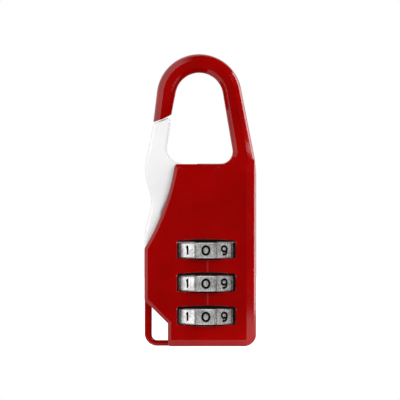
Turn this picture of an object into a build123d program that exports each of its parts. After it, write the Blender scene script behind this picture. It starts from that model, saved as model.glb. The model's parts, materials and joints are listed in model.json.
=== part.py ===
"""Luggage combination padlock: die-cast hook body, swinging gate and a three-dial lock.

Millimetres.  X runs across the lock, Z up from its flat bottom, and the front faces -Y.
The dials turn about Z, the gate swings about Y, and opening the gate drives the locking
bolt down through the notched collars of the three clutch sleeves.
"""
import os
from math import acos, atan2, cos, degrees, hypot, radians, sin, tan

from build123d import *

os.makedirs("parts", exist_ok=True)

# ---------------------------------------------------------------- driving dimensions
WIDTH = 30.6  # overall width of the casing
HEIGHT = 80.0  # bottom face to the crown of the hook
THICKNESS = 13.0  # casing, front face to back face
HOOK_THICKNESS = 8.8  # hook and gate, front to back
PLATE = 1.5  # front and rear plates
FLOOR = 1.6  # bottom wall
SIDE_BEVEL = 2.7  # bevel down the right side of the body,
OUTER_BEVEL = 1.8  # around the outside of the hook and along the bottom,
THROAT_BEVEL = 1.3  # around the hook's opening and along the shoulder,
COVER_BEVEL = 0.9  # and down the left side with its curved edge over the gate
OUTER_ROUNDING = 2.2  # radius between a bevel and the side wall
BEVELS = (("outer", OUTER_BEVEL, OUTER_ROUNDING), ("throat", THROAT_BEVEL, 1.0), ("cover", COVER_BEVEL, 0.7))
HOOK_BAND = 5.2  # width of the hook's bar at the crown
HOOK_RADIUS = 11.7  # outside of the arch
HOOK_X = -0.3  # middle of the arch
LEG_SLOPE = 11.0  # degrees, outside of the hook's right leg
LEG_TAPER = 1.4  # degrees, how much steeper its inside is
TIP_SLOPE = 7.0  # degrees, outside of the hook's free end
TIP_Z = 62.4  # outer corner of the free end
SHOULDER_Z = 49.95  # top edge of the body under the hook
SHOULDER_X = -6.95  # left end of the shoulder
CORNER_RADIUS = 3.3
KNEE_RADIUS = 36.0  # from the leg into the straight side
GATE_LIP_Z = 26.8  # lower end of the curved edge over the gate
TAPER_START_Z = 44.5  # the casing thins from here ...
TAPER_END_Z = 64.0  # ... to here

DIAL_AXIS_X = 1.5
DIAL_PITCH = 9.05
DIAL_BOTTOM_Z = 8.15  # middle of the lowest dial
DIAL_HEIGHT = 4.2
DIAL_FACET = 8.5  # axis to the flat of a digit
DIGITS = 10
GROOVE_WIDTH = 0.9
GROOVE_DEPTH = 0.5
WINDOW_WIDTH = 15.9
WINDOW_HEIGHT = 4.7  # at the ends of a window
WINDOW_ARCH = 0.4  # rise of its upper and lower edges
WINDOW_SHIFT_X = 0.15  # window middle from the dial axis
WINDOW_SHIFT_Z = 0.25  # window middle from the dial middle
WINDOW_CORNER = 0.45  # radius of its corners
WINDOW_BEVEL = 0.25  # around its mouth
INDEX_WIDTH = 0.6  # engraved V that marks the index between the windows
INDEX_DEPTH = 0.14
INDEX_X = 1.95
INDEX_LENGTH = 3.1

PIVOT_X = -11.9
PIVOT_Z = 28.6
PIN_RADIUS = 1.0
WASHER_RADIUS = 2.0
GATE_SWING = 16.0  # degrees, closed to fully open
GATE_ROUNDING = 1.0
NOSE_X = -3.0  # inner nose of the gate, over the bolt's shoe
NOSE_RADIUS = 1.2

BOLT_RADIUS = 1.5
SPIGOT_RADIUS = 1.05  # bolt's end, riveted into the shoe
TAIL_LENGTH = 0.45  # bolt below its lowest fin's collar
FIN_RADIUS = 2.6
FIN_WIDTH = 1.2
FIN_HEIGHT = 0.9
FIN_LIFT = 0.35  # a fin's rest height above its collar
SLEEVE_RADIUS = 3.2
SLEEVE_BORE = 2.75
COLLAR_HEIGHT = 1.0
NOTCH_WIDTH = 1.5
LUG_RADIUS = 4.0
LUG_WIDTH = 0.9
LUG_HEIGHT = 1.0
LUG_COUNT = 5
RESET_TRAVEL = 1.2
BUTTON_RADIUS = 2.0
BUTTON_FLANGE = 0.75
BUTTON_RECESS = 0.35  # the button's face above the casing's bottom
WASHER_THICKNESS = 0.3  # spring washer on top of the sleeves

BULKHEAD_BOTTOM = 33.6
BULKHEAD_TOP = 34.8
CARRIER_BOTTOM = 4.4
CARRIER_LEDGE = 6.5  # half width of the floor well between the carrier's ledges
BUSH_RADIUS = 2.4
BUSH_FLANGE_RADIUS = 3.0
BUSH_FLANGE = 0.4
SPRING_WIRE = 0.4
BOLT_SPRING_TURNS = 4.5
RESET_SPRING_TURNS = 2.5
SHOE_BOTTOM = 40.6
SHOE_HEIGHT = 1.2
SHOE_LEFT = -4.3
SHOE_RIGHT = 4.0
CHAMBER_RIGHT = 5.5

COMB_THICKNESS = 0.3
COMB_SPINE = 1.4
COMB_FINGER = 2.8  # height of each finger
COMB_BUMP = 1.15  # half width of the bump that rides the dial

EYE_BAR = 2.0  # bar around the lanyard eye
EYE_THICKNESS = 5.0
EYE_WIDTH = 4.4  # clear width of the eye
EYE_FOOT_Z = 0.1  # its underside
EYE_SILL = 1.5  # height of its lower bar
EYE_RADIUS = 3.4  # outer and inner corner of the loop
EYE_INNER_RADIUS = 1.5
DIAGONAL_Z = 6.3  # where the body's lower left diagonal starts

SCREW_RADIUS = 0.65
SCREW_HEAD_RADIUS = 1.3
SCREW_LENGTH = 8.2
SCREW_SLOT = (1.5, 0.35)  # length and width of each arm of the cross recess
RIVET_RADIUS = 0.35
RIVET_HEAD_RADIUS = 0.6

FIT = 0.05  # running clearance of a turning or sliding fit
GAP = 0.3  # clearance between moving pieces elsewhere
SEAT = 0.02  # clearance of pieces that are assembled and stay put

# ---------------------------------------------------------------- derived places
SIDE_X = WIDTH / 2
FACE_Y = THICKNESS / 2
CAVITY_Y = FACE_Y - PLATE
HOOK_Y = HOOK_THICKNESS / 2
HOOK_Z = HEIGHT - HOOK_RADIUS
INNER_RADIUS = HOOK_RADIUS - HOOK_BAND
EYE_RIGHT_X = -SIDE_X + EYE_BAR + EYE_WIDTH  # the body's side wall beside the eye
DIAGONAL_HIGH_Z = DIAGONAL_Z + EYE_RIGHT_X + SIDE_X

LEVELS = ("bottom", "middle", "top")
DIAL_Z = [DIAL_BOTTOM_Z + DIAL_PITCH * i for i in range(len(LEVELS))]
FACET_HALF = DIAL_FACET * tan(radians(180 / DIGITS))
DIAL_TIP = hypot(DIAL_FACET, FACET_HALF - GROOVE_WIDTH / 2)
DIAL_CLEARANCE = 0.15  # above and below each dial
POCKET_RADIUS = DIAL_TIP + GAP + 0.1
CARRIER_HALF = POCKET_RADIUS + FIT
CHAMBER_HALF = CARRIER_HALF + 2 * FIT
SLEEVE_LENGTH = DIAL_PITCH - FIT
STACK_TOP = DIAL_Z[-1] + SLEEVE_LENGTH / 2
STACK_BOTTOM = DIAL_Z[0] - SLEEVE_LENGTH / 2
FIN_REST = COLLAR_HEIGHT / 2 + FIN_LIFT  # underside of a fin above its collar's middle
BOLT_BOTTOM = DIAL_Z[0] + TAIL_LENGTH
SHOE_TOP = SHOE_BOTTOM + SHOE_HEIGHT
NOSE_Z = SHOE_TOP + FIT + NOSE_RADIUS
HUB_RADIUS = SIDE_X + PIVOT_X
COMB_BACK = DIAL_AXIS_X + CHAMBER_HALF + 0.9
COMB_NOSE = DIAL_AXIS_X + DIAL_TIP + 0.14
RIVET_Y = CAVITY_Y - 1.0
screw_x = SIDE_X - SIDE_BEVEL - SCREW_HEAD_RADIUS - 0.1
SCREWS = [(screw_x, OUTER_BEVEL + SCREW_HEAD_RADIUS), (screw_x, 36.8), (screw_x, 43.0), (-11.4, 15.0)]

SWING = radians(GATE_SWING)
BOLT_TRAVEL = (NOSE_X - PIVOT_X) * sin(SWING) + (NOSE_Z - PIVOT_Z) * (1 - cos(SWING))


def on_circle(x, z, radius, degrees):
    """Point of a circle in the front plane, its angle counted from +X towards +Z."""
    return x + radius * cos(radians(degrees)), z + radius * sin(radians(degrees))


def front(y):
    """Sketch plane parallel to the front face, X to the right and Z up, facing -Y."""
    return Plane.XZ.offset(-y)


def rim_edges(shape):
    """Outline edges of the broad front and back faces, seams inside a face left out."""
    rims = []
    for side in (-1, 1):
        seen = {}
        for face in shape.faces():
            if side * face.normal_at().Y > 0.9:
                for edge in face.edges():
                    middle = edge.center()
                    place = (round(middle.X, 3), round(middle.Y, 3), round(middle.Z, 3))
                    seen.setdefault(place, []).append(edge)
        rims += [edges[0] for edges in seen.values() if len(edges) == 1]
    return rims


def outline_part(edge):
    """Which run of the casing's outline an edge belongs to."""
    x, z = edge.center().X, edge.center().Z
    if x < stub_inner[0] and abs(z - stub_z) < 1 and edge.length < HOOK_BAND:
        return "stub"
    if x < SHOULDER_X + FIT and z < SHOULDER_Z + FIT:
        return "cover"
    middle = INNER_RADIUS + HOOK_BAND / 2
    leg_x = arch_right[0] + (arch_right[1] - z) * tan(radians(LEG_SLOPE))
    on_side = x > min(SIDE_X, leg_x) - HOOK_BAND / 2
    on_arch = z > HOOK_Z and hypot(x - HOOK_X, z - HOOK_Z) > middle
    on_tip = z > SHOULDER_Z and x < HOOK_X - middle
    return "outer" if z < HOOK_BAND / 2 or on_side or on_arch or on_tip else "throat"


def wall_edges(shape):
    """Edges between a bevel and the side wall."""
    found = {}
    for face in shape.faces():
        if abs(face.normal_at().Y) < 0.05:
            for edge in face.edges():
                middle = edge.center()
                along = edge % 0.5
                if abs(middle.Y) > HOOK_Y / 2 and abs(along.Y) < 0.9 and edge.length > FIT:
                    found[round(middle.X, 3), round(middle.Y, 3), round(middle.Z, 3)] = edge
    return list(found.values())


def finish(piece, label):
    piece.part.label = label
    export_step(piece.part, f"parts/{label}.step")


def window_shape(middle_z):
    """Outline of one dial window, its upper and lower edges arched."""
    left = DIAL_AXIS_X + WINDOW_SHIFT_X - WINDOW_WIDTH / 2
    right = left + WINDOW_WIDTH
    low = middle_z + WINDOW_SHIFT_Z - WINDOW_HEIGHT / 2
    high = low + WINDOW_HEIGHT
    middle = (left + right) / 2
    with BuildSketch() as window:
        with BuildLine():
            Line((left, low), (left, high))
            ThreePointArc((left, high), (middle, high + WINDOW_ARCH), (right, high))
            Line((right, high), (right, low))
            ThreePointArc((right, low), (middle, low - WINDOW_ARCH), (left, low))
        make_face()
        fillet(window.vertices(), WINDOW_CORNER)
    return window.sketch


def coil_spring(bottom, top, turns, radius):
    """Round-wire compression spring about the dial axis."""
    wire = SPRING_WIRE / 2
    pitch = (top - bottom - 2 * wire - 2 * SEAT) / turns
    with BuildPart() as spring:
        with BuildLine(Plane((DIAL_AXIS_X, 0, bottom + wire + SEAT))) as path:
            Helix(pitch=pitch, height=pitch * turns, radius=radius)
        with BuildSketch(Plane(path.line @ 0, z_dir=path.line % 0)):
            Circle(wire)
        sweep(is_frenet=True)
    return spring


# ---------------------------------------------------------------- casing blank
# One outline serves the main casting and the rear cover, which share every edge.
arch_left = on_circle(HOOK_X, HOOK_Z, HOOK_RADIUS, 180 - TIP_SLOPE)
arch_right = on_circle(HOOK_X, HOOK_Z, HOOK_RADIUS, LEG_SLOPE)
throat_left = on_circle(HOOK_X, HOOK_Z, INNER_RADIUS, 180 - LEG_SLOPE)
throat_right = on_circle(HOOK_X, HOOK_Z, INNER_RADIUS, LEG_SLOPE - LEG_TAPER)
stub_z = TIP_Z - 3.0  # the free end is cut back from here to its step
stub_outer = (arch_left[0] - (arch_left[1] - stub_z) * tan(radians(TIP_SLOPE)), stub_z)
stub_inner = (throat_left[0] - (throat_left[1] - stub_z) * tan(radians(LEG_SLOPE)), stub_z)
knee = (SIDE_X, arch_right[1] - (SIDE_X - arch_right[0]) / tan(radians(LEG_SLOPE)))
inner_lean = tan(radians(LEG_SLOPE - LEG_TAPER))
inner_knee = (throat_right[0] + (throat_right[1] - SHOULDER_Z) * inner_lean, SHOULDER_Z)
lip = (-SIDE_X, GATE_LIP_Z)
shoulder_end = (SHOULDER_X, SHOULDER_Z)
bottom_corner = (SIDE_X, 0)

with BuildPart() as blank:
    with BuildSketch(front(0)) as outline:
        with BuildLine():
            Line(stub_outer, arch_left)
            ThreePointArc(arch_left, (HOOK_X, HEIGHT), arch_right)
            Polyline(arch_right, knee, bottom_corner, (EYE_RIGHT_X, 0), (EYE_RIGHT_X, DIAGONAL_Z),
                     (-SIDE_X, DIAGONAL_HIGH_Z), lip)
            ThreePointArc(lip, (-9.95, 38.0), shoulder_end)
            Polyline(shoulder_end, inner_knee, throat_right)
            ThreePointArc(throat_right, (HOOK_X, HOOK_Z + INNER_RADIUS), throat_left)
            Polyline(throat_left, stub_inner, stub_outer)
        make_face()
        for corner, radius in ((knee, KNEE_RADIUS), (bottom_corner, CORNER_RADIUS),
                               (inner_knee, CORNER_RADIUS), (lip, 1.5)):
            fillet(outline.vertices().sort_by_distance(corner)[0], radius)
    extrude(amount=FACE_Y, both=True)
    # Seen from the side, the casing thins smoothly from the body into the hook.
    with BuildSketch(Plane.YZ):
        with BuildLine():
            middle_z = (TAPER_START_Z + TAPER_END_Z) / 2
            Line((FACE_Y, -1), (FACE_Y, TAPER_START_Z))
            Bezier((FACE_Y, TAPER_START_Z), (FACE_Y, middle_z), (HOOK_Y, middle_z), (HOOK_Y, TAPER_END_Z))
            Polyline((HOOK_Y, TAPER_END_Z), (HOOK_Y, HEIGHT + 1), (0, HEIGHT + 1))
            mirror(about=Plane.YZ)
            Line((-FACE_Y, -1), (FACE_Y, -1))
        make_face()
    extrude(amount=WIDTH, both=True, mode=Mode.INTERSECT)
    for run, width, _ in BEVELS:
        chamfer([edge for edge in rim_edges(blank.part) if outline_part(edge) == run], width)
    for run, _, radius in BEVELS:
        fillet([edge for edge in wall_edges(blank.part) if outline_part(edge) == run], radius)
    # The bevel widens down the right side of the body.
    wall_x = SIDE_X - OUTER_ROUNDING
    wall_y = FACE_Y - SIDE_BEVEL - OUTER_ROUNDING * tan(radians(22.5))
    with BuildSketch(Plane.XY.offset(-1)) as side_cut:
        with BuildLine():
            Polyline((SIDE_X, wall_y), (SIDE_X + 1, wall_y), (SIDE_X + 1, FACE_Y + 1),
                     (SIDE_X - SIDE_BEVEL - 1, FACE_Y + 1), on_circle(wall_x, wall_y, OUTER_ROUNDING, 45))
            ThreePointArc(on_circle(wall_x, wall_y, OUTER_ROUNDING, 45),
                          on_circle(wall_x, wall_y, OUTER_ROUNDING, 22.5), (SIDE_X, wall_y))
        make_face()
        mirror(about=Plane.XZ)
    extrude(amount=HEIGHT, mode=Mode.SUBTRACT)
    # The free end is a slanted step whose outer lip hangs over the gate's tip.
    with BuildSketch(front(0)):
        with BuildLine():
            Polyline((stub_outer[0] - 3, stub_z - 1), (stub_outer[0] - 3, TIP_Z - 1.1), (-12.6, TIP_Z - 1.0),
                     (-10.3, TIP_Z - 0.3), (-9.3, TIP_Z + 0.2), (-8.2, TIP_Z + 0.8),
                     (stub_inner[0] + 3, TIP_Z + 2.2), (stub_inner[0] + 3, stub_z - 1), close=True)
        make_face()
    extrude(amount=FACE_Y, both=True, mode=Mode.SUBTRACT)

# ---------------------------------------------------------------- lanyard eye
with BuildPart() as eye_loop:
    with BuildSketch(front(0)) as eye_sketch:
        with BuildLine():
            Polyline((-SIDE_X, DIAGONAL_HIGH_Z + 0.5), (-SIDE_X, EYE_FOOT_Z), (EYE_RIGHT_X + 0.5, EYE_FOOT_Z),
                     (EYE_RIGHT_X + 0.5, EYE_FOOT_Z + EYE_SILL),
                     (-SIDE_X + EYE_BAR, EYE_FOOT_Z + EYE_SILL),
                     (-SIDE_X + EYE_BAR, DIAGONAL_HIGH_Z + 0.5), close=True)
        make_face()
        fillet(eye_sketch.vertices().sort_by_distance((-SIDE_X, EYE_FOOT_Z))[0], EYE_RADIUS)
        inner_corner = (-SIDE_X + EYE_BAR, EYE_FOOT_Z + EYE_SILL)
        fillet(eye_sketch.vertices().sort_by_distance(inner_corner)[0], EYE_INNER_RADIUS)
    extrude(amount=EYE_THICKNESS / 2, both=True)
    fillet(rim_edges(eye_loop.part), 0.6)

# ---------------------------------------------------------------- main casting
gate_corner = (-4.0, SHOULDER_Z + 0.15)
gate_flare = (-8.3, 51.7)  # inside of the gate where it dips below the shoulder as it opens
gate_reach = hypot(gate_flare[0] - PIVOT_X, gate_flare[1] - PIVOT_Z) + 2 * GAP
well_z = (FLOOR + CARRIER_BOTTOM) / 2

with BuildPart() as main_case:
    add(blank.part)
    add(eye_loop.part)
    # Seat of the rear cover, up to the shoulder.
    with BuildSketch(front(CAVITY_Y)):
        with Locations((0, SHOULDER_Z / 2)):
            Rectangle(WIDTH + 2, SHOULDER_Z)
    extrude(amount=-THICKNESS, mode=Mode.SUBTRACT)
    # Dial chamber, and the well between the two ledges that carry the dial frame.
    with BuildSketch(front(-CAVITY_Y)):
        with Locations((DIAL_AXIS_X, (CARRIER_BOTTOM + BULKHEAD_TOP + FIT) / 2)):
            Rectangle(2 * CHAMBER_HALF, BULKHEAD_TOP + FIT - CARRIER_BOTTOM)
        with Locations((DIAL_AXIS_X, well_z)):
            Rectangle(2 * CARRIER_LEDGE, CARRIER_BOTTOM - FLOOR)
    extrude(amount=-THICKNESS, mode=Mode.SUBTRACT)
    # Pocket behind the dials' right side for the detent comb.
    comb_low = DIAL_Z[0] - COMB_FINGER / 2 - GAP
    comb_high = DIAL_Z[-1] + COMB_FINGER / 2 + GAP
    with BuildSketch(front(-CAVITY_Y + 0.6)):
        with Locations((COMB_BACK + SEAT - 1, (comb_low + comb_high) / 2)):
            Rectangle(2, comb_high - comb_low)
    extrude(amount=-THICKNESS, mode=Mode.SUBTRACT)
    # Gate chamber: the sweep of the gate about its pivot, open to the left and above.
    with BuildSketch(front(-CAVITY_Y)):
        with Locations((PIVOT_X, PIVOT_Z)):
            Circle(gate_reach)
        with Locations((CHAMBER_RIGHT - WIDTH / 2, (BULKHEAD_TOP + HEIGHT) / 2)):
            Rectangle(WIDTH, HEIGHT - BULKHEAD_TOP, mode=Mode.INTERSECT)
        with Locations((PIVOT_X, PIVOT_Z)):
            Circle(HUB_RADIUS + GAP)
        hub_right = PIVOT_X + HUB_RADIUS + GAP
        with Locations((hub_right - WIDTH / 4, (PIVOT_Z + BULKHEAD_TOP + 1) / 2)):
            Rectangle(WIDTH / 2, BULKHEAD_TOP + 1 - PIVOT_Z)
    extrude(amount=-THICKNESS, mode=Mode.SUBTRACT)
    # Lightening pocket in the lower left of the casting.
    with BuildSketch(front(-CAVITY_Y)):
        with Locations(((DIAL_AXIS_X - CHAMBER_HALF - SIDE_X) / 2, 20.0)):
            Rectangle(4.6, 5.0)
    extrude(amount=-THICKNESS, mode=Mode.SUBTRACT)
    # Windows over the dials.
    with BuildSketch(front(-FACE_Y - 1)):
        for z in DIAL_Z:
            add(window_shape(z))
    extrude(amount=-(PLATE + 1.5), mode=Mode.SUBTRACT)
    face = main_case.faces().filter_by(lambda f: f.normal_at().Y < -0.99).sort_by(SortBy.AREA)[-1]
    chamfer([edge for wire in face.inner_wires() for edge in wire.edges()], WINDOW_BEVEL)
    # Engraved index mark between neighbouring windows.
    for low, high in zip(DIAL_Z, DIAL_Z[1:]):
        with BuildSketch(Plane.XY.offset((low + high) / 2 + WINDOW_SHIFT_Z - INDEX_LENGTH / 2)):
            with BuildLine():
                Polyline((INDEX_X - INDEX_WIDTH / 2, -FACE_Y), (INDEX_X, -FACE_Y + INDEX_DEPTH),
                         (INDEX_X + INDEX_WIDTH / 2, -FACE_Y), close=True)
            make_face()
        extrude(amount=INDEX_LENGTH, mode=Mode.SUBTRACT)
    # Bore of the reset button, blind seat of the pivot pin, screw and rivet holes.
    with BuildSketch(Plane.XY.offset(-1)):
        with Locations((DIAL_AXIS_X, 0)):
            Circle(BUTTON_RADIUS + FIT)
    extrude(amount=FLOOR + 2, mode=Mode.SUBTRACT)
    with BuildSketch(front(-CAVITY_Y - 0.9)):
        with Locations((PIVOT_X, PIVOT_Z)):
            Circle(PIN_RADIUS + SEAT)
    extrude(amount=-2, mode=Mode.SUBTRACT)
    with BuildSketch(front(CAVITY_Y)):
        with Locations(*SCREWS):
            Circle(SCREW_RADIUS + SEAT)
    extrude(amount=SCREW_LENGTH - PLATE + 0.5, mode=Mode.SUBTRACT)
    with BuildSketch(Plane.YZ.offset(COMB_BACK)):
        for low, high in zip(DIAL_Z, DIAL_Z[1:]):
            with Locations((RIVET_Y, (low + high) / 2)):
                Circle(RIVET_RADIUS + SEAT)
    extrude(amount=1.4, mode=Mode.SUBTRACT)
finish(main_case, "main_case")

# ---------------------------------------------------------------- rear cover
with BuildPart() as rear_cover:
    add(blank.part)
    with BuildSketch(front(CAVITY_Y)):
        with Locations((0, (SHOULDER_Z - SEAT) / 2)):
            Rectangle(WIDTH + 2, SHOULDER_Z - SEAT)
    extrude(amount=-THICKNESS, mode=Mode.INTERSECT)
    with BuildSketch(front(CAVITY_Y - 1)):
        for z in DIAL_Z:
            add(window_shape(z))
        with Locations((PIVOT_X, PIVOT_Z)):
            Circle(PIN_RADIUS + SEAT)
    extrude(amount=-THICKNESS, mode=Mode.SUBTRACT)
    with Locations(*[Location((x, FACE_Y, z), (-90, 0, 0)) for x, z in SCREWS]):
        CounterSinkHole(SCREW_RADIUS + 0.1, SCREW_HEAD_RADIUS + SEAT, counter_sink_angle=90)
finish(rear_cover, "rear_cover")

with BuildPart() as case_screws:
    head_y = FACE_Y - 0.1
    head_radius = SCREW_HEAD_RADIUS - 0.1
    neck_y = head_y - head_radius + SCREW_RADIUS
    for x, z in SCREWS:
        with BuildSketch(Plane((x, 0, z), x_dir=(1, 0, 0), z_dir=(0, 0, 1))):
            with BuildLine():
                Polyline((0, head_y), (head_radius, head_y), (SCREW_RADIUS, neck_y),
                         (SCREW_RADIUS, head_y - SCREW_LENGTH + 0.5),
                         (SCREW_RADIUS - 0.3, head_y - SCREW_LENGTH), (0, head_y - SCREW_LENGTH), close=True)
            make_face()
        revolve(axis=Axis((x, 0, z), (0, 1, 0)))
        with BuildSketch(Plane((x, head_y, z), x_dir=(1, 0, 0), z_dir=(0, -1, 0))):
            Rectangle(*SCREW_SLOT)
            Rectangle(*reversed(SCREW_SLOT))
        extrude(amount=0.5, mode=Mode.SUBTRACT)
finish(case_screws, "case_screws")

# ---------------------------------------------------------------- dial carrier
with BuildPart() as dial_carrier:
    with BuildSketch(Plane.XY.offset(CARRIER_BOTTOM)):
        with Locations((DIAL_AXIS_X, 0)):
            Rectangle(2 * CARRIER_HALF, 2 * CAVITY_Y - 4 * FIT)
    extrude(amount=BULKHEAD_TOP - CARRIER_BOTTOM)
    # Dial pockets: a round space for each dial, open front, back and at both sides.
    pocket_height = DIAL_HEIGHT + 2 * DIAL_CLEARANCE
    for z in DIAL_Z:
        with BuildSketch(Plane.XY.offset(z - pocket_height / 2)):
            with Locations((DIAL_AXIS_X, 0)):
                Circle(POCKET_RADIUS)
                Rectangle(4 * CARRIER_HALF, 6.0)
        extrude(amount=pocket_height, mode=Mode.SUBTRACT)
    # U-shaped slots, so that the stack of dials and sleeves drops in from the back.
    for radius, low, high in ((SLEEVE_RADIUS + 2 * FIT, CARRIER_BOTTOM, BULKHEAD_BOTTOM),
                              (BUSH_RADIUS + SEAT, BULKHEAD_BOTTOM, BULKHEAD_TOP)):
        with BuildSketch(Plane.XY.offset(low)):
            with Locations((DIAL_AXIS_X, 0)):
                Circle(radius)
            with Locations((DIAL_AXIS_X, CAVITY_Y / 2)):
                Rectangle(2 * radius, CAVITY_Y)
        extrude(amount=high - low, mode=Mode.SUBTRACT)
finish(dial_carrier, "dial_carrier")

# ---------------------------------------------------------------- dials and sleeves
for level, z in zip(LEVELS, DIAL_Z):
    with BuildPart() as dial:
        with BuildSketch(Plane.XY.offset(z - DIAL_HEIGHT / 2)):
            with Locations((DIAL_AXIS_X, 0)):
                RegularPolygon(DIAL_FACET, DIGITS, major_radius=False)
        extrude(amount=DIAL_HEIGHT)
        chamfer(dial.faces().filter_by(Axis.Z).edges(), 0.3)
        vertex_radius = hypot(DIAL_FACET, FACET_HALF)
        with BuildSketch(Plane.XY.offset(z - DIAL_HEIGHT / 2)):
            with Locations((DIAL_AXIS_X, 0)):
                with PolarLocations(vertex_radius, DIGITS):
                    Rectangle(2 * (GROOVE_DEPTH + 0.15), GROOVE_WIDTH)
        extrude(amount=DIAL_HEIGHT, mode=Mode.SUBTRACT)
        # Clutch teeth in the lower part of the bore, a free recess above them.
        recess_z = z - LUG_HEIGHT / 2 - 0.1
        with BuildSketch(Plane.XY.offset(z - DIAL_HEIGHT / 2)):
            with Locations((DIAL_AXIS_X, 0)):
                Circle(SLEEVE_RADIUS + FIT)
                with PolarLocations((LUG_RADIUS + 0.2) / 2, DIGITS):
                    Rectangle(LUG_RADIUS + 0.2, LUG_WIDTH + 0.2)
        extrude(amount=DIAL_HEIGHT, mode=Mode.SUBTRACT)
        with BuildSketch(Plane.XY.offset(recess_z)):
            with Locations((DIAL_AXIS_X, 0)):
                Circle(LUG_RADIUS + 0.5)
        extrude(amount=DIAL_HEIGHT, mode=Mode.SUBTRACT)
    finish(dial, f"dial_{level}")

    with BuildPart() as sleeve:
        with BuildSketch(Plane.XY.offset(z - SLEEVE_LENGTH / 2)):
            with Locations((DIAL_AXIS_X, 0)):
                Circle(SLEEVE_RADIUS)
        extrude(amount=SLEEVE_LENGTH)
        # Lugs that key the sleeve to its dial until the reset travel lifts them clear.
        with BuildSketch(Plane.XY.offset(recess_z - 0.1 - LUG_HEIGHT)):
            with Locations((DIAL_AXIS_X, 0)):
                with PolarLocations(LUG_RADIUS / 2 + 1, LUG_COUNT):
                    Rectangle(LUG_RADIUS - 2, LUG_WIDTH)
        extrude(amount=LUG_HEIGHT)
        with BuildSketch(Plane.XY.offset(z + COLLAR_HEIGHT / 2)):
            with Locations((DIAL_AXIS_X, 0)):
                Circle(SLEEVE_BORE)
        extrude(amount=SLEEVE_LENGTH, mode=Mode.SUBTRACT)
        with BuildSketch(Plane.XY.offset(z - COLLAR_HEIGHT / 2)):
            with Locations((DIAL_AXIS_X, 0)):
                Circle(SLEEVE_BORE)
        extrude(amount=-SLEEVE_LENGTH, mode=Mode.SUBTRACT)
        # The collar's bore guides the bolt, and its one notch lets a fin through.
        with BuildSketch(Plane.XY.offset(z - COLLAR_HEIGHT)):
            with Locations((DIAL_AXIS_X, 0)):
                Circle(BOLT_RADIUS + FIT)
            with Locations((DIAL_AXIS_X + SLEEVE_BORE / 2, 0)):
                Rectangle(SLEEVE_BORE, NOTCH_WIDTH)
            with Locations((DIAL_AXIS_X, 0)):
                Circle(SLEEVE_BORE, mode=Mode.INTERSECT)
        extrude(amount=2 * COLLAR_HEIGHT, mode=Mode.SUBTRACT)
    finish(sleeve, f"sleeve_{level}")

# ---------------------------------------------------------------- locking bolt
with BuildPart() as locking_bolt:
    with BuildSketch(Plane.XY.offset(BOLT_BOTTOM)):
        with Locations((DIAL_AXIS_X, 0)):
            Circle(BOLT_RADIUS)
    extrude(amount=SHOE_BOTTOM - BOLT_BOTTOM)
    chamfer(locking_bolt.faces().sort_by(Axis.Z)[0].edges(), 0.3)
    with BuildSketch(Plane.XY.offset(SHOE_BOTTOM)):
        with Locations((DIAL_AXIS_X, 0)):
            Circle(SPIGOT_RADIUS)
    extrude(amount=SHOE_HEIGHT - FIT)
    for z in DIAL_Z:
        with BuildSketch(Plane.XY.offset(z + FIN_REST)):
            with Locations((DIAL_AXIS_X + FIN_RADIUS / 2, 0)):
                Rectangle(FIN_RADIUS, FIN_WIDTH)
        extrude(amount=FIN_HEIGHT)
finish(locking_bolt, "locking_bolt")

with BuildPart() as bolt_shoe:
    with BuildSketch(Plane.XY.offset(SHOE_BOTTOM)) as shoe_sketch:
        with Locations(((SHOE_LEFT + SHOE_RIGHT) / 2, 0)):
            Rectangle(SHOE_RIGHT - SHOE_LEFT, 2 * (CAVITY_Y - GAP))
        fillet(shoe_sketch.vertices(), 1.5)
        with Locations((DIAL_AXIS_X, 0)):
            Circle(SPIGOT_RADIUS + SEAT, mode=Mode.SUBTRACT)
    extrude(amount=SHOE_HEIGHT)
finish(bolt_shoe, "bolt_shoe")

with BuildPart() as guide_bush:
    with BuildSketch(Plane.XY.offset(BULKHEAD_BOTTOM)):
        with Locations((DIAL_AXIS_X, 0)):
            Circle(BUSH_RADIUS)
    extrude(amount=BULKHEAD_TOP - BULKHEAD_BOTTOM)
    with BuildSketch(Plane.XY.offset(BULKHEAD_TOP)):
        with Locations((DIAL_AXIS_X, 0)):
            Circle(BUSH_FLANGE_RADIUS)
    extrude(amount=BUSH_FLANGE)
    with BuildSketch(Plane.XY.offset(BULKHEAD_BOTTOM)):
        with Locations((DIAL_AXIS_X, 0)):
            Circle(BOLT_RADIUS + FIT)
    extrude(amount=2 * (BULKHEAD_TOP - BULKHEAD_BOTTOM), mode=Mode.SUBTRACT)
finish(guide_bush, "guide_bush")

bolt_spring = coil_spring(BULKHEAD_TOP + BUSH_FLANGE, SHOE_BOTTOM, BOLT_SPRING_TURNS, BUSH_RADIUS - 0.1)
finish(bolt_spring, "bolt_spring")

# ---------------------------------------------------------------- code reset
washer_top = STACK_TOP + SEAT + WASHER_THICKNESS
with BuildPart() as spring_washer:
    with BuildSketch(Plane.XY.offset(STACK_TOP + SEAT)):
        with Locations((DIAL_AXIS_X, 0)):
            Circle(SLEEVE_RADIUS)
            Circle(BOLT_RADIUS + 2 * FIT, mode=Mode.SUBTRACT)
    extrude(amount=WASHER_THICKNESS)
finish(spring_washer, "spring_washer")

reset_spring = coil_spring(washer_top, BULKHEAD_BOTTOM, RESET_SPRING_TURNS, BUSH_RADIUS)
finish(reset_spring, "reset_spring")

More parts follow.
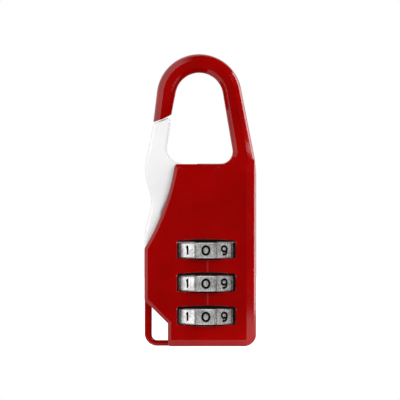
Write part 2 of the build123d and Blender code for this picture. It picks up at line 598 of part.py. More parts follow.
with BuildPart() as reset_button:
    with BuildSketch(Plane.XY.offset(BUTTON_RECESS)):
        with Locations((DIAL_AXIS_X, 0)):
            Circle(BUTTON_RADIUS)
    extrude(amount=FLOOR)
    with BuildSketch(Plane.XY.offset(FLOOR + FIT)):
        with Locations((DIAL_AXIS_X, 0)):
            Circle(SLEEVE_RADIUS)
    extrude(amount=STACK_BOTTOM - SEAT - FLOOR - FIT)
    with BuildSketch(Plane.XY.offset(FLOOR + FIT + BUTTON_FLANGE)):
        with Locations((DIAL_AXIS_X, 0)):
            Circle(SLEEVE_BORE - 0.4)
    extrude(amount=CARRIER_BOTTOM, mode=Mode.SUBTRACT)
    # Dimple for the tip of a pen.
    with Locations((DIAL_AXIS_X, 0, BUTTON_RECESS)):
        Cone(BUTTON_RADIUS - 0.9, 0.2, 0.6, align=(Align.CENTER, Align.CENTER, Align.MIN),
             mode=Mode.SUBTRACT)
finish(reset_button, "reset_button")

# ---------------------------------------------------------------- dial detents
with BuildPart() as detent_comb:
    for z in DIAL_Z:
        with BuildSketch(Plane.XY.offset(z - COMB_FINGER / 2)):
            with BuildLine():
                flat = COMB_BACK - COMB_THICKNESS
                crown = COMB_NOSE + COMB_THICKNESS
                Polyline((COMB_BACK, CAVITY_Y - GAP), (COMB_BACK, COMB_BUMP - 0.15), (crown, 0.15),
                         (crown, -0.15), (COMB_BACK, 0.15 - COMB_BUMP), (COMB_BACK, -2.6),
                         (flat, -2.6), (flat, -COMB_BUMP), (COMB_NOSE, -0.3), (COMB_NOSE, 0.3),
                         (flat, COMB_BUMP), (flat, CAVITY_Y - GAP), close=True)
            make_face()
        extrude(amount=COMB_FINGER)
    with BuildSketch(Plane.YZ.offset(COMB_BACK - COMB_THICKNESS)):
        with Locations((CAVITY_Y - GAP - COMB_SPINE / 2, (DIAL_Z[0] + DIAL_Z[-1]) / 2)):
            Rectangle(COMB_SPINE, DIAL_Z[-1] - DIAL_Z[0] + COMB_FINGER)
    extrude(amount=COMB_THICKNESS)
    with BuildSketch(Plane.YZ.offset(COMB_BACK - 2)):
        for low, high in zip(DIAL_Z, DIAL_Z[1:]):
            with Locations((RIVET_Y, (low + high) / 2)):
                Circle(RIVET_RADIUS + SEAT)
    extrude(amount=4, mode=Mode.SUBTRACT)
finish(detent_comb, "detent_comb")

with BuildPart() as detent_rivets:
    rivet_top = COMB_BACK - COMB_THICKNESS - SEAT
    for low, high in zip(DIAL_Z, DIAL_Z[1:]):
        place = Plane((rivet_top, RIVET_Y, (low + high) / 2), x_dir=(0, 1, 0), z_dir=(1, 0, 0))
        with BuildSketch(place):
            Circle(RIVET_RADIUS)
        extrude(amount=1.5)
        with BuildSketch(place):
            Circle(RIVET_HEAD_RADIUS)
        extrude(amount=-0.4)
finish(detent_rivets, "detent_rivets")

# ---------------------------------------------------------------- gate and its pivot
hub_left = (PIVOT_X - HUB_RADIUS, PIVOT_Z)
gate_heel = (-12.85, TIP_Z - 1.45)  # outer corner of the gate's tip
gate_toe = (-7.75, TIP_Z + 0.55)  # its inner corner
gate_waist = (-9.0, 54.6)  # where the inside of the finger starts to flare into the plate
gate_back = (-10.5, 36.0)  # inner edge of the plate above the hub
back_rise = gate_back[0] - PIVOT_X, gate_back[1] - PIVOT_Z
hub_angle = degrees(atan2(back_rise[1], back_rise[0]) - acos(HUB_RADIUS / hypot(*back_rise)))
hub_right_end = on_circle(PIVOT_X, PIVOT_Z, HUB_RADIUS, hub_angle)
nose_leave = on_circle(NOSE_X, NOSE_Z, NOSE_RADIUS, 150)

with BuildPart() as gate:
    with BuildSketch(front(0)) as gate_sketch:
        with BuildLine():
            # Thumb edge: out at the hub, waisted, swelling, then tapering to the tip.
            Spline(hub_left, (-13.5, 40.2), (-15.2, 48.4), (-14.1, 54.4), gate_heel,
                   tangents=[(0, 1), (0.2, 1)])
            Polyline(gate_heel, gate_toe, gate_waist)
            Spline(gate_waist, gate_flare, (-6.3, SHOULDER_Z + 0.4), gate_corner,
                   tangents=[(gate_waist[0] - gate_toe[0], gate_waist[1] - gate_toe[1]), (1, -0.02)])
            Polyline(gate_corner, gate_back, hub_right_end)
            ThreePointArc(hub_right_end, (PIVOT_X, PIVOT_Z - HUB_RADIUS), hub_left)
        make_face()
        for corner, radius in ((gate_heel, 1.4), (gate_toe, 1.05), (gate_corner, 1.2), (gate_back, 4.0)):
            fillet(gate_sketch.vertices().sort_by_distance(corner)[0], radius)
    extrude(amount=HOOK_Y, both=True)
    fillet(rim_edges(gate.part), GATE_ROUNDING)
    # Inner arm, whose round nose rests on the bolt's shoe.
    with BuildSketch(front(0)):
        with BuildLine():
            Polyline((-7.5, 45.2), (-6.5, NOSE_Z + 5.7), (-3.4, NOSE_Z + 5.7),
                     (NOSE_X + NOSE_RADIUS, NOSE_Z + 3.5), (NOSE_X + NOSE_RADIUS, NOSE_Z))
            ThreePointArc((NOSE_X + NOSE_RADIUS, NOSE_Z), (NOSE_X, NOSE_Z - NOSE_RADIUS), nose_leave)
            Line(nose_leave, (-7.5, 45.2))
        make_face()
    extrude(amount=HOOK_Y - GATE_ROUNDING, both=True)
    with BuildSketch(front(0)):
        with Locations((PIVOT_X, PIVOT_Z)):
            Circle(PIN_RADIUS + FIT)
    extrude(amount=THICKNESS, both=True, mode=Mode.SUBTRACT)
finish(gate, "gate")

with BuildPart() as gate_pin:
    with BuildSketch(front(-CAVITY_Y - 0.85)):
        with Locations((PIVOT_X, PIVOT_Z)):
            Circle(PIN_RADIUS)
    extrude(amount=-(CAVITY_Y + 0.85 + FACE_Y - 0.1))
    chamfer(gate_pin.edges().filter_by(GeomType.CIRCLE), 0.15)
finish(gate_pin, "gate_pin")

with BuildPart() as gate_washers:
    for side in (-1, 1):
        middle_y = side * (HOOK_Y + CAVITY_Y) / 2
        thickness = CAVITY_Y - HOOK_Y - 2 * FIT
        with BuildSketch(front(middle_y)):
            with Locations((PIVOT_X, PIVOT_Z)):
                Circle(WASHER_RADIUS)
                Circle(PIN_RADIUS + FIT, mode=Mode.SUBTRACT)
        extrude(amount=thickness / 2, both=True)
finish(gate_washers, "gate_washers")

print(f"bolt travel {BOLT_TRAVEL:.3f} mm, dial tip radius {DIAL_TIP:.3f} mm")
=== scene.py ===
import json
from math import cos, pi, radians, sin

import bmesh
import bpy
from mathutils import Matrix, Vector


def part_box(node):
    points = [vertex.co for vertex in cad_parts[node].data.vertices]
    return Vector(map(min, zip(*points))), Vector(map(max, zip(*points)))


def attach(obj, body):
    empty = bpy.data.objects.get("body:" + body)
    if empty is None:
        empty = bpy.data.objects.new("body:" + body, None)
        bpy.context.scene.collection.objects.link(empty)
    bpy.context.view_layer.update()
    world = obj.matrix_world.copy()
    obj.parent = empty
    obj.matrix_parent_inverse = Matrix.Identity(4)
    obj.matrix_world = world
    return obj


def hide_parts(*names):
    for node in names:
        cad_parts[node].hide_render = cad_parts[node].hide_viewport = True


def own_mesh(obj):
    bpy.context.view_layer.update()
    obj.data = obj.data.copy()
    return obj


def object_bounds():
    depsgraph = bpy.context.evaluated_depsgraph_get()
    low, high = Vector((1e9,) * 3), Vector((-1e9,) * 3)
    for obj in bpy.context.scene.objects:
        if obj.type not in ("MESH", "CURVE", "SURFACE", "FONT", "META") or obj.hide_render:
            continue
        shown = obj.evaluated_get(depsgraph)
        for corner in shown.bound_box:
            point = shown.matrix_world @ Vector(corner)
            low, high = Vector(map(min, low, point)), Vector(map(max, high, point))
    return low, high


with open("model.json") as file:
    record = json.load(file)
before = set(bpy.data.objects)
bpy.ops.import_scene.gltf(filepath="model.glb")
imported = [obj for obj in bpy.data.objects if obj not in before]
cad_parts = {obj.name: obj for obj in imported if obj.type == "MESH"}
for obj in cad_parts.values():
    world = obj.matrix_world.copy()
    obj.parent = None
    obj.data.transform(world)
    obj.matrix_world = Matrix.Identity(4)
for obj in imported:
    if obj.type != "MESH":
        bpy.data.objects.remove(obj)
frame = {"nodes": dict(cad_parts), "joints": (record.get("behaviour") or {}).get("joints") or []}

MM = 0.001
cad_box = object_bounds()
object_middle = (Vector(cad_box[0]) + Vector(cad_box[1])) / 2
ground_z = cad_box[0][2]

# ------------------------------------------------------------------ camera and studio
CAMERA_DISTANCE = 1.0  # from the front face
CAMERA_X = -0.0001
CAMERA_HEIGHT = 0.0400
FRAME_WIDTH = 0.1091  # width seen at the front face
SENSOR = 36.0  # millimetres
CLIP_START = 0.01

ROOM_LEVEL = 0.36  # how much the room alone lights a surface from above ...
BOUNCE_LEVEL = 0.90  # ... and from below, where a white table in front throws light back
BOUNCE_SPREAD = 0.4  # how softly the one turns into the other about the horizon
WALL_LEVEL = 1.25  # white walls behind and left of the object, as gloss shows them
OPEN_LEVEL = 0.02  # open, unlit side of the room behind the camera
WALL_DIRECTION = Vector((-0.55, 0.80, -0.25)).normalized()
WALL_EDGE = (-0.15, 0.12)  # where the open side ends and the walls begin, along that direction

LAMPS = (
    # name, place from the middle of the object, width, height, watts
    ("key_lamp", (0.60, -0.54, 0.46), 0.35, 0.35, 3.7),
    ("fill_lamp", (-0.69, -0.50, 0.32), 0.40, 0.45, 3.4),
    ("top_lamp", (0.05, -0.25, 0.95), 0.50, 0.30, 0.9),
    ("rim_lamp", (0.84, 0.32, 0.12), 0.46, 1.00, 9.0),
)

FLOOR_SIDE = 0.30  # half width
FLOOR_BACK = 0.90
FLOOR_FRONT = -0.012  # the floor ends a little in front of the object, where the dark room begins
FLOOR_GLOW = 0.90  # share of the floor's white that no shadow takes away
FLOOR_MIRRORED = 0.12  # the floor's own light as gloss shows it, ...
FLOOR_BOUNCE = 0.75  # ... and as it lights what stands on it
FLOOR_GREY = 0.8
FLOOR_ROUGHNESS = 0.9


def srgb(red, green, blue):
    """Linear colour of an 8-bit sRGB one."""
    shares = (red / 255, green / 255, blue / 255)
    return tuple(((c + 0.055) / 1.055) ** 2.4 if c > 0.04045 else c / 12.92 for c in shares)


# ------------------------------------------------------------------ finishes, darkest and lightest
RED = srgb(134, 0, 0), srgb(150, 2, 1)
WHITE = srgb(231, 231, 231), srgb(239, 239, 239)
STEEL = srgb(112, 112, 114), srgb(170, 170, 172)
BRASS = srgb(150, 118, 60), srgb(205, 172, 98)
CHROME = srgb(176, 176, 175), srgb(238, 238, 237)
PLASTIC = srgb(14, 14, 15), srgb(25, 25, 27)
INK = srgb(6, 6, 6), srgb(20, 19, 18)
PAINTED_SHADE = srgb(22, 14, 14)  # painted shade, nearly black, inside the casting and on the hook's free end where it faces down
# painted highlight: paler red in the index mark's groove, standing in for the light it catches
PAINTED_INDEX_HIGHLIGHT = srgb(150, 36, 34)
PAINTED_EDGE_SHADE = srgb(150, 150, 153)  # painted shade: grey over the white lacquer where it is seen along its surface
EDGE_SHADE_SPAN = (0.55, 0.92)  # share of the way to edge-on over which the painted shade goes grey

# Painted shade: the red lacquer is laid nearly black in the dials' room, in the gate's room and under the
# hook's free end, within these bounds.
CHAMBER_HALF_DEPTH = 6.2 * MM  # the dials' room, front to back
CHAMBER_FLOOR_Z = 3.8 * MM
CHAMBER_PAST_LEFT = 0.4 * MM  # how far it goes on past the dial carrier
CHAMBER_PAST_RIGHT = 1.3 * MM
GATE_ROOM_HALF_DEPTH = 5.05 * MM
GATE_ROOM_WALL = 0.2 * MM  # skin of the casing's left side that stays red
GATE_ROOM_BELOW = 1.0 * MM  # how far the room goes on below the gate
TIP_RIGHT_X = -7.0 * MM  # the hook's free end lies left of this
TIP_BELOW = 3.0 * MM  # its end face, from below the gate's top ...
TIP_ABOVE = 2.0 * MM  # ... to above it
FACING_DOWN = -0.5
# The index mark's groove, which gets the painted highlight:
INDEX_SHIFT = 0.45 * MM  # from the dials' axis to the index mark
INDEX_HALF_WIDTH = 0.2 * MM
INDEX_SPAN = (0.02 * MM, 0.16 * MM)  # depth of its walls below the front face

# ------------------------------------------------------------------ numerals
DIGIT_STROKE = 0.34 * MM  # radius of the round engraving tool
DIGIT_HALF_WIDTH = 0.96 * MM
DIGIT_HALF_HEIGHT = 1.14 * MM
DIGIT_STEP = radians(36)
ENGRAVING_LIFT = 0.09 * MM  # tool's centre above the facet
RING_POINTS = 8
WELD = 0.002 * MM  # corners this close are one corner
SHARP_EDGE = radians(28)  # edges above it stay crisp
TUBE_RESOLUTION = 3  # around every round stroke and wire
STROKE_RESOLUTION = 6  # along a numeral's strokes


def ring(x, y, half_width, half_height):
    """Closed oval stroke, as the control points of a smooth loop around it."""
    turns = [2 * pi * i / RING_POINTS for i in range(RING_POINTS)]
    reach = 2 / (1 + cos(pi / RING_POINTS) ** 2)  # a smooth loop runs just inside its control points
    return True, [(x + half_width * reach * cos(t), y + half_height * reach * sin(t)) for t in turns]


def stroke(*points):
    return False, list(points)


# Strokes on a grid that reaches 1 to each side of the numeral's middle.
NUMERALS = (
    [ring(0, 0, 1.0, 1.0)],
    [stroke((-0.5, 0.62), (-0.2, 0.72), (0.0, 1.0), (0.0, 1.0), (0.0, -1.0))],
    [stroke((-0.85, 0.45), (-0.8, 1.05), (0.1, 1.15), (0.9, 0.9), (0.85, 0.2), (-0.2, -0.4), (-0.85, -1.0),
            (-0.85, -1.0), (0.9, -1.0))],
    [stroke((-0.8, 0.8), (-0.4, 1.05), (0.8, 1.1), (0.85, 0.1), (0.0, 0.1), (-0.2, 0.1)),
     stroke((-0.2, 0.1), (0.1, 0.1), (1.0, 0.1), (1.0, -1.05), (-0.3, -1.05), (-0.9, -0.75))],
    [stroke((0.35, -1.0), (0.35, 1.0), (0.35, 1.0), (-0.95, -0.4), (-0.95, -0.4), (0.95, -0.4))],
    [stroke((0.75, 1.0), (-0.65, 1.0), (-0.65, 1.0), (-0.75, 0.15), (-0.75, 0.15), (0.3, 0.45), (1.0, 0.2),
            (1.0, -1.0), (-0.2, -1.05), (-0.85, -0.75))],
    [ring(0, -0.36, 0.9, 0.64), stroke((-0.9, -0.36), (-0.9, 0.35), (-0.5, 1.0), (0.6, 1.0))],
    [stroke((-0.85, 1.0), (0.85, 1.0), (0.85, 1.0), (0.1, 0.1), (-0.25, -1.0))],
    [ring(0, 0.55, 0.75, 0.48), ring(0, -0.48, 0.92, 0.54)],
    [ring(0, 0.36, 0.9, 0.64), stroke((0.9, 0.36), (0.9, -0.35), (0.5, -1.0), (-0.6, -1.0))],
)

# ------------------------------------------------------------------ springs
SPRING_WIRE = 0.4 * MM
COIL_POINTS = 32  # to each turn
SPRINGS = (  # CAD node, turns, joint that presses it, and whether its top end is the one that stays
    ("bolt_spring", 4.5, "bolt_drive", False),
    ("reset_spring", 2.5, "reset_press", True),
)


def new_object(name, data):
    piece = bpy.data.objects.new(name, data)
    bpy.context.scene.collection.objects.link(piece)
    return piece


def settled_mesh(piece, name):
    """The piece's final mesh, with its modifiers applied."""
    bpy.context.view_layer.update()
    graph = bpy.context.evaluated_depsgraph_get()
    mesh = bpy.data.meshes.new_from_object(piece.evaluated_get(graph))
    mesh.name = name
    return mesh


def remove(piece):
    bpy.data.objects.remove(piece)


def tube(name, radius):
    """Empty curve whose splines come out as round, capped tubes."""
    curve = bpy.data.curves.new(name, "CURVE")
    curve.dimensions = "3D"
    curve.bevel_depth = radius
    curve.bevel_resolution = TUBE_RESOLUTION
    curve.use_fill_caps = True
    return curve


def set_inputs(node, **values):
    """Constant inputs of a shader node, by name with _ for each space."""
    for name, value in values.items():
        node.inputs[name.replace("_", " ")].default_value = value


# ------------------------------------------------------------------ materials
class Finish:
    """A procedural material, built node by node around one Principled shader."""

    def __init__(self, name, **fixed):
        self.material = bpy.data.materials.new(name)
        self.material.use_nodes = True
        self.nodes = self.material.node_tree.nodes
        self.links = self.material.node_tree.links
        self.shader = self.nodes["Principled BSDF"]
        set_inputs(self.shader, **fixed)
        self.place = self.nodes.new("ShaderNodeTexCoord").outputs["Object"]

    def link(self, source, target):
        self.links.new(source, target)

    def noise(self, size, detail=4.0, stretch=(1, 1, 1), distortion=0.0):
        """Noise whose grains are about `size` metres across, longer where stretch is below 1."""
        mapping = self.nodes.new("ShaderNodeMapping")
        set_inputs(mapping, Scale=stretch)
        self.link(self.place, mapping.inputs["Vector"])
        noise = self.nodes.new("ShaderNodeTexNoise")
        set_inputs(noise, Scale=1 / size, Detail=detail, Distortion=distortion)
        self.link(mapping.outputs["Vector"], noise.inputs["Vector"])
        return noise.outputs["Fac"]

    def ramp(self, factor, *stops):
        """Colour ramp through (position, grey or colour) stops."""
        ramp = self.nodes.new("ShaderNodeValToRGB")
        elements = ramp.color_ramp.elements
        while len(elements) < len(stops):
            elements.new(0.5)
        for element, (position, colour) in zip(elements, stops):
            element.position = position
            grey = isinstance(colour, (int, float))
            element.color = (colour, colour, colour, 1) if grey else (*colour, 1)
        self.link(factor, ramp.inputs["Fac"])
        return ramp.outputs["Color"]

    def spread(self, factor, least, most):
        """The middle of a noise stretched over least to most."""
        spread = self.nodes.new("ShaderNodeMapRange")
        set_inputs(spread, From_Min=0.3, From_Max=0.7, To_Min=least, To_Max=most)
        self.link(factor, spread.inputs["Value"])
        return spread.outputs["Result"]

    def math(self, operation, first, second):
        """Result of one operation on two sockets or numbers."""
        node = self.nodes.new("ShaderNodeMath")
        node.operation = operation
        for socket, value in zip(node.inputs, (first, second)):
            if isinstance(value, (int, float)):
                socket.default_value = value
            else:
                self.link(value, socket)
        return node.outputs["Value"]

    def mix(self, factor, first, second):
        """Colour that goes from first to second, each a socket or a colour, as factor goes from 0 to 1."""
        node = self.nodes.new("ShaderNodeMix")
        node.data_type = "RGBA"
        self.link(factor, node.inputs["Factor"])
        for socket, value in (("A", first), ("B", second)):
            target = [s for s in node.inputs if s.name == socket and s.type == "RGBA"][0]
            if isinstance(value, tuple):
                target.default_value = (*value, 1)
            else:
                self.link(value, target)
        return [s for s in node.outputs if s.type == "RGBA"][0]

    def facing(self, axis):
        """One part of the surface's own direction."""
        parts = self.nodes.new("ShaderNodeSeparateXYZ")
        self.link(self.nodes.new("ShaderNodeNewGeometry").outputs["True Normal"], parts.inputs["Vector"])
        return parts.outputs[axis]

    def bump(self, height, depth):
        """Relief of a depth in metres."""
        bump = self.nodes.new("ShaderNodeBump")
        set_inputs(bump, Distance=depth, Strength=1.0)
        self.link(height, bump.inputs["Height"])
        self.link(bump.outputs["Normal"], self.shader.inputs["Normal"])

    def colour(self, source):
        self.link(source, self.shader.inputs["Base Color"])

    def present_colour(self):
        return self.shader.inputs["Base Color"].links[0].from_socket

    def roughness(self, source):
        self.link(source, self.shader.inputs["Roughness"])


def lacquer(name, deep, light):
    """Sprayed and baked lacquer over a die casting: slow cloudiness, uneven gloss and orange peel."""
    finish = Finish(name, Specular_IOR_Level=0.42)
    finish.colour(finish.ramp(finish.noise(9 * MM, detail=3), (0.3, deep), (0.7, light)))
    finish.roughness(finish.spread(finish.noise(4 * MM, detail=6), 0.05, 0.10))
    peel = finish.math("ADD", finish.noise(1.4 * MM, detail=2), finish.math(
        "MULTIPLY", finish.noise(0.25 * MM, detail=2), 0.2))
    finish.bump(peel, 0.003 * MM)
    return finish


def within(finish, axis, start, end):
    """1 where the place along one axis is between two ends."""
    parts = finish.nodes.get("parts")
    if parts is None:
        parts = finish.nodes.new("ShaderNodeSeparateXYZ")
        parts.name = "parts"
        finish.link(finish.place, parts.inputs["Vector"])
    past_start = finish.math("GREATER_THAN", parts.outputs[axis], start)
    before_end = finish.math("LESS_THAN", parts.outputs[axis], end)
    return finish.math("MULTIPLY", past_start, before_end)


def in_box(finish, x_ends, y_ends, z_ends):
    """1 inside an upright box, 0 outside it."""
    flat = finish.math("MULTIPLY", within(finish, "X", *x_ends), within(finish, "Z", *z_ends))
    return finish.math("MULTIPLY", within(finish, "Y", *y_ends), flat)


def red_lacquer():
    """Red lacquer outside, with a painted highlight of paler red in the index mark's groove and painted shade,
    nearly black, inside the casting and under the hook's free end.
    """
    finish = lacquer("red_lacquer", *RED)
    body, carrier, gate, dial = (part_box(node) for node in ("rear_cover", "dial_carrier", "gate", "dial_top"))
    # painted shade, nearly black, in the dials' room and the gate's room
    chamber = in_box(finish, (carrier[0].x - CHAMBER_PAST_LEFT, carrier[1].x + CHAMBER_PAST_RIGHT),
                     (-CHAMBER_HALF_DEPTH, CHAMBER_HALF_DEPTH), (CHAMBER_FLOOR_Z, carrier[1].z))
    gate_room = in_box(finish, (body[0].x + GATE_ROOM_WALL, carrier[1].x),
                       (-GATE_ROOM_HALF_DEPTH, GATE_ROOM_HALF_DEPTH),
                       (gate[0].z - GATE_ROOM_BELOW, body[1].z))
    # painted shadow on the downward faces of the hook's free end, above the gate's tip
    tip = finish.math("MULTIPLY", within(finish, "X", body[0].x, TIP_RIGHT_X),
                      within(finish, "Z", gate[1].z - TIP_BELOW, gate[1].z + TIP_ABOVE))
    downward = finish.math("LESS_THAN", finish.facing("Z"), FACING_DOWN)
    tip_end = finish.math("MULTIPLY", downward, tip)
    painted_shade_mask = finish.math("MAXIMUM", finish.math("MAXIMUM", chamber, gate_room), tip_end)
    index_x = (dial[0].x + dial[1].x) / 2 + INDEX_SHIFT
    face_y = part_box("main_case")[0].y
    index = in_box(finish, (index_x - INDEX_HALF_WIDTH, index_x + INDEX_HALF_WIDTH),
                   (face_y + INDEX_SPAN[0], face_y + INDEX_SPAN[1]), (CHAMBER_FLOOR_Z, carrier[1].z))
    # painted highlight in the index mark's groove
    index_highlighted = finish.mix(index, finish.present_colour(), PAINTED_INDEX_HIGHLIGHT)
    finish.colour(finish.mix(painted_shade_mask, index_highlighted, PAINTED_SHADE))
    return finish.material


def white_lacquer():
    """White lacquer with painted shade: greyer where its surface turns away from the view at the gate's edges.
    """
    finish = lacquer("white_lacquer", *WHITE)
    weight = finish.nodes.new("ShaderNodeLayerWeight")
    starts, ends = EDGE_SHADE_SPAN
    # painted shade: grey laid over the white where the surface turns away from the view
    edge_shade = finish.ramp(weight.outputs["Facing"], (starts, 0.0), (ends, 1.0))
    finish.colour(finish.mix(edge_shade, finish.present_colour(), PAINTED_EDGE_SHADE))
    return finish.material


def bright_metal(name, colours, rough, grain, depth, stretch=(1, 1, 1), metallic=1.0):
    """Plated or plain metal with tarnish in patches, a grain and fine relief."""
    finish = Finish(name, Metallic=metallic)
    dark, light = colours
    patches = finish.noise(2.2 * MM, detail=5, distortion=0.4)
    lines = finish.noise(grain, detail=5, stretch=stretch)
    shade = finish.math("ADD", finish.math("MULTIPLY", patches, 0.6), finish.math("MULTIPLY", lines, 0.4))
    finish.colour(finish.ramp(shade, (0.36, dark), (0.6, light)))
    finish.roughness(finish.spread(lines, *rough))
    finish.bump(lines, depth)
    return finish.material


def moulded_plastic():
    finish = Finish("black_plastic", Specular_IOR_Level=0.4)
    finish.colour(finish.ramp(finish.noise(3 * MM), (0.35, PLASTIC[0]), (0.65, PLASTIC[1])))
    finish.roughness(finish.spread(finish.noise(0.8 * MM), 0.38, 0.55))
    finish.bump(finish.noise(0.12 * MM, detail=2), 0.01 * MM)
    return finish.material


def ink():
    finish = Finish("numeral_ink", Specular_IOR_Level=0.12)
    finish.colour(finish.ramp(finish.noise(0.5 * MM), (0.35, INK[0]), (0.7, INK[1])))
    finish.roughness(finish.spread(finish.noise(0.3 * MM), 0.6, 0.8))
    finish.bump(finish.noise(0.1 * MM, detail=2), 0.01 * MM)
    return finish.material


def assign(material, *nodes):
    """Puts one material on CAD nodes that stay as they are."""
    for name in nodes:
        slots = frame["nodes"][name].data.materials
        slots.clear()
        slots.append(material)


def make_spring(node, turns, joint, top_stays, material):
    """Coil that stands for the CAD spring, fixed to the casing."""
    bottom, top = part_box(node)
    middle = (bottom + top) / 2
    radius = (top.x - bottom.x - SPRING_WIRE) / 2
    rise = top.z - bottom.z - SPRING_WIRE
    curve = tube(f"{node}_path", SPRING_WIRE / 2)
    spline = curve.splines.new("POLY")
    steps = round(turns * COIL_POINTS)
    spline.points.add(steps)
    for step, point in enumerate(spline.points):
        turn = 2 * pi * step / COIL_POINTS
        height = bottom.z + SPRING_WIRE / 2 + rise * step / steps
        point.co = (middle.x + radius * cos(turn), middle.y + radius * sin(turn), height, 1)
    path = new_object(f"{node}_path", curve)
    coil = new_object(f"{node}_coil", settled_mesh(path, f"{node}_coil"))
    remove(path)
    coil.data.polygons.foreach_set("use_smooth", [True] * len(coil.data.polygons))
    coil.data.materials.clear()
    coil.data.materials.append(material)
    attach(coil, "casing")
    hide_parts(node)
    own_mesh(coil)


def dress_cad_nodes():
    steel = bright_metal("blued_steel", STEEL, (0.24, 0.42), 0.15 * MM, 0.004 * MM)
    brass = bright_metal("machined_brass", BRASS, (0.2, 0.36), 0.12 * MM, 0.003 * MM, stretch=(0.3, 0.3, 2))
    plastic = moulded_plastic()
    assign(red_lacquer(), "main_case", "rear_cover")
    assign(white_lacquer(), "gate")
    assign(plastic, "dial_carrier", "reset_button")
    assign(steel, "case_screws", "gate_pin", "gate_washers", "detent_comb", "detent_rivets", "locking_bolt",
           "spring_washer")
    assign(brass, "sleeve_top", "sleeve_middle", "sleeve_bottom", "guide_bush", "bolt_shoe")
    for spring in SPRINGS:
        make_spring(*spring, steel)


# ------------------------------------------------------------------ engraved dials
def numeral_curve(digit):
    """The path of the engraving tool for one numeral, on the XY plane, tube and all."""
    curve = tube(f"numeral_{digit}", DIGIT_STROKE)
    curve.resolution_u = STROKE_RESOLUTION
    for closed, points in NUMERALS[digit]:
        spline = curve.splines.new("NURBS")
        spline.points.add(len(points) - 1)
        for point, (u, v) in zip(spline.points, points):
            point.co = (u * DIGIT_HALF_WIDTH, v * DIGIT_HALF_HEIGHT, 0, 1)
        spline.use_cyclic_u = closed
        spline.order_u = 3
        spline.use_endpoint_u = not closed
    return curve


def facet_frame(axis_x, radius, middle_z, turn):
    """Reading frame of the facet at that angle about the dial axis: right, up, outward."""
    outward = Vector((sin(turn), -cos(turn), 0))
    up = Vector((0, 0, 1))
    right = up.cross(outward)
    frame_matrix = Matrix((right, up, outward)).transposed().to_4x4()
    frame_matrix.translation = Vector((axis_x, 0, middle_z)) + outward * radius
    return frame_matrix


def engraving_tool(axis_x, radius, middle_z, material):
    """All ten numerals' tool paths around one dial, as a single mesh."""
    gathered = bmesh.new()
    for digit in range(len(NUMERALS)):
        path = new_object(f"path_{digit}", numeral_curve(digit))
        mesh = settled_mesh(path, f"path_{digit}")
        mesh.transform(facet_frame(axis_x, radius + ENGRAVING_LIFT, middle_z, -digit * DIGIT_STEP))
        gathered.from_mesh(mesh)
        remove(path)
    mesh = bpy.data.meshes.new("engraving_tool")
    gathered.to_mesh(mesh)
    gathered.free()
    mesh.materials.append(material)
    return new_object("engraving_tool", mesh)


def engraved_dial(node, chrome, black):
    """The CAD dial with its ten numerals cut into the facets and filled with black."""
    lowest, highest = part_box(node)
    mesh = frame["nodes"][node].data.copy()
    mesh.materials.clear()
    mesh.materials.append(chrome)
    welded = bmesh.new()
    welded.from_mesh(mesh)
    bmesh.ops.remove_doubles(welded, verts=welded.verts, dist=WELD)
    welded.to_mesh(mesh)
    welded.free()
    if "custom_normal" in mesh.attributes:
        mesh.attributes.remove(mesh.attributes["custom_normal"])
    axis_x = next(j["pos_m"][0] for j in frame["joints"] if j["child"] == node)
    blank = new_object(node + "_blank", mesh)
    tool = engraving_tool(axis_x, -lowest.y, (lowest.z + highest.z) / 2, black)
    cut = blank.modifiers.new("engrave", "BOOLEAN")
    cut.operation = "DIFFERENCE"
    cut.solver = "EXACT"
    cut.use_self = True
    cut.material_mode = "TRANSFER"
    cut.object = tool
    result = settled_mesh(blank, node + "_engraved")
    remove(blank)
    remove(tool)
    return result


def make_dials():
    """One dial is engraved; the others are copies of it at their own heights."""
    chrome = bright_metal("satin_chrome", CHROME, (0.20, 0.34), 0.4 * MM, 0.007 * MM,
                          stretch=(1, 1, 0.45), metallic=0.55)
    black = ink()
    engraved = engraved_dial("dial_bottom", chrome, black)
    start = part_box("dial_bottom")[0].z
    for node in ("dial_bottom", "dial_middle", "dial_top"):
        mesh = engraved.copy()
        mesh.transform(Matrix.Translation((0, 0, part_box(node)[0].z - start)))
        mesh.shade_smooth()
        mesh.set_sharp_from_angle(angle=SHARP_EDGE)
        piece = new_object("engraved_" + node, mesh)
        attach(piece, node)
        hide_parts(node)


# ------------------------------------------------------------------ studio
def make_camera():
    data = bpy.data.cameras.new("camera")
    data.sensor_width = SENSOR
    data.lens = SENSOR * CAMERA_DISTANCE / FRAME_WIDTH
    data.clip_start = CLIP_START
    camera = new_object("camera", data)
    camera.location = (CAMERA_X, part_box("main_case")[0].y - CAMERA_DISTANCE, CAMERA_HEIGHT)
    camera.rotation_euler = (pi / 2, 0, 0)
    bpy.context.scene.camera = camera


def make_lamps():
    for name, offset, width, height, watts in LAMPS:
        data = bpy.data.lights.new(name, "AREA")
        data.shape = "RECTANGLE"
        data.size = width
        data.size_y = height
        data.energy = watts
        lamp = new_object(name, data)
        lamp.location = object_middle + Vector(offset)
        lamp.rotation_euler = Vector(offset).to_track_quat("Z", "Y").to_euler()


def switch(nodes, links, factor, off, on):
    """Level that goes from off to on, each a socket or a number, as factor goes from 0 to 1."""
    node = nodes.new("ShaderNodeMix")
    links.new(factor, node.inputs["Factor"])
    for socket, value in (("A", off), ("B", on)):
        if isinstance(value, float):
            node.inputs[socket].default_value = value
        else:
            links.new(value, node.inputs[socket])
    return node.outputs["Result"]


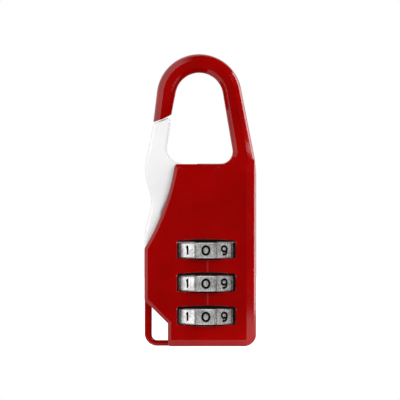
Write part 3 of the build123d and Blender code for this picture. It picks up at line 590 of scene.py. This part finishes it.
def make_world():
    """A white room, open and unlit behind the camera, that shows as plain white behind the object."""
    world = bpy.data.worlds.new("studio")
    bpy.context.scene.world = world
    world.use_nodes = True
    nodes, links = world.node_tree.nodes, world.node_tree.links
    direction = nodes.new("ShaderNodeTexCoord").outputs["Generated"]

    facing = nodes.new("ShaderNodeVectorMath")
    facing.operation = "DOT_PRODUCT"
    facing.inputs[1].default_value = WALL_DIRECTION
    links.new(direction, facing.inputs[0])
    walls = nodes.new("ShaderNodeMapRange")
    walls.interpolation_type = "SMOOTHSTEP"
    set_inputs(walls, From_Min=WALL_EDGE[0], From_Max=WALL_EDGE[1], To_Min=OPEN_LEVEL, To_Max=WALL_LEVEL)
    links.new(facing.outputs["Value"], walls.inputs["Value"])

    parts = nodes.new("ShaderNodeSeparateXYZ")
    links.new(direction, parts.inputs["Vector"])
    room = nodes.new("ShaderNodeMapRange")
    set_inputs(room, From_Min=-BOUNCE_SPREAD, From_Max=BOUNCE_SPREAD, To_Min=BOUNCE_LEVEL, To_Max=ROOM_LEVEL)
    links.new(parts.outputs["Z"], room.inputs["Value"])

    path = nodes.new("ShaderNodeLightPath")
    mirrored = nodes.new("ShaderNodeMath")
    mirrored.operation = "MAXIMUM"
    links.new(path.outputs["Is Glossy Ray"], mirrored.inputs[0])
    links.new(path.outputs["Is Transmission Ray"], mirrored.inputs[1])
    level = switch(nodes, links, mirrored.outputs["Value"], room.outputs["Result"], walls.outputs["Result"])
    level = switch(nodes, links, path.outputs["Is Camera Ray"], level, 1.0)
    background = nodes["Background"]
    set_inputs(background, Color=(1, 1, 1, 1))
    links.new(level, background.inputs["Strength"])


def floor_material():
    """White table top whose own light is set apart for what the camera, gloss and dull surfaces see."""
    material = bpy.data.materials.new("floor_white")
    material.use_nodes = True
    nodes, links = material.node_tree.nodes, material.node_tree.links
    shader = nodes["Principled BSDF"]
    set_inputs(shader, Base_Color=(FLOOR_GREY, FLOOR_GREY, FLOOR_GREY, 1), Roughness=FLOOR_ROUGHNESS,
               Specular_IOR_Level=0.0)
    path = nodes.new("ShaderNodeLightPath")
    level = None
    for ray, share in (("Is Glossy Ray", FLOOR_MIRRORED), ("Is Diffuse Ray", FLOOR_BOUNCE),
                       ("Is Camera Ray", FLOOR_GLOW)):
        added = nodes.new("ShaderNodeMath")
        added.operation = "MULTIPLY_ADD"
        links.new(path.outputs[ray], added.inputs[0])
        added.inputs[1].default_value = share
        added.inputs[2].default_value = 0.0
        if level:
            links.new(level, added.inputs[2])
        level = added.outputs["Value"]
    glow = nodes.new("ShaderNodeEmission")
    links.new(level, glow.inputs["Strength"])
    both = nodes.new("ShaderNodeAddShader")
    links.new(shader.outputs["BSDF"], both.inputs[0])
    links.new(glow.outputs["Emission"], both.inputs[1])
    links.new(both.outputs["Shader"], nodes["Material Output"].inputs["Surface"])
    return material


def make_floor():
    plane = bmesh.new()
    corners = ((-FLOOR_SIDE, FLOOR_FRONT), (FLOOR_SIDE, FLOOR_FRONT), (FLOOR_SIDE, FLOOR_BACK),
               (-FLOOR_SIDE, FLOOR_BACK))
    plane.faces.new([plane.verts.new((x, y, ground_z)) for x, y in corners])
    mesh = bpy.data.meshes.new("floor")
    plane.to_mesh(mesh)
    plane.free()
    mesh.materials.append(floor_material())
    new_object("floor", mesh)


make_camera()
make_world()
make_lamps()
make_floor()
dress_cad_nodes()
make_dials()
bpy.context.scene.view_settings.view_transform = "Standard"
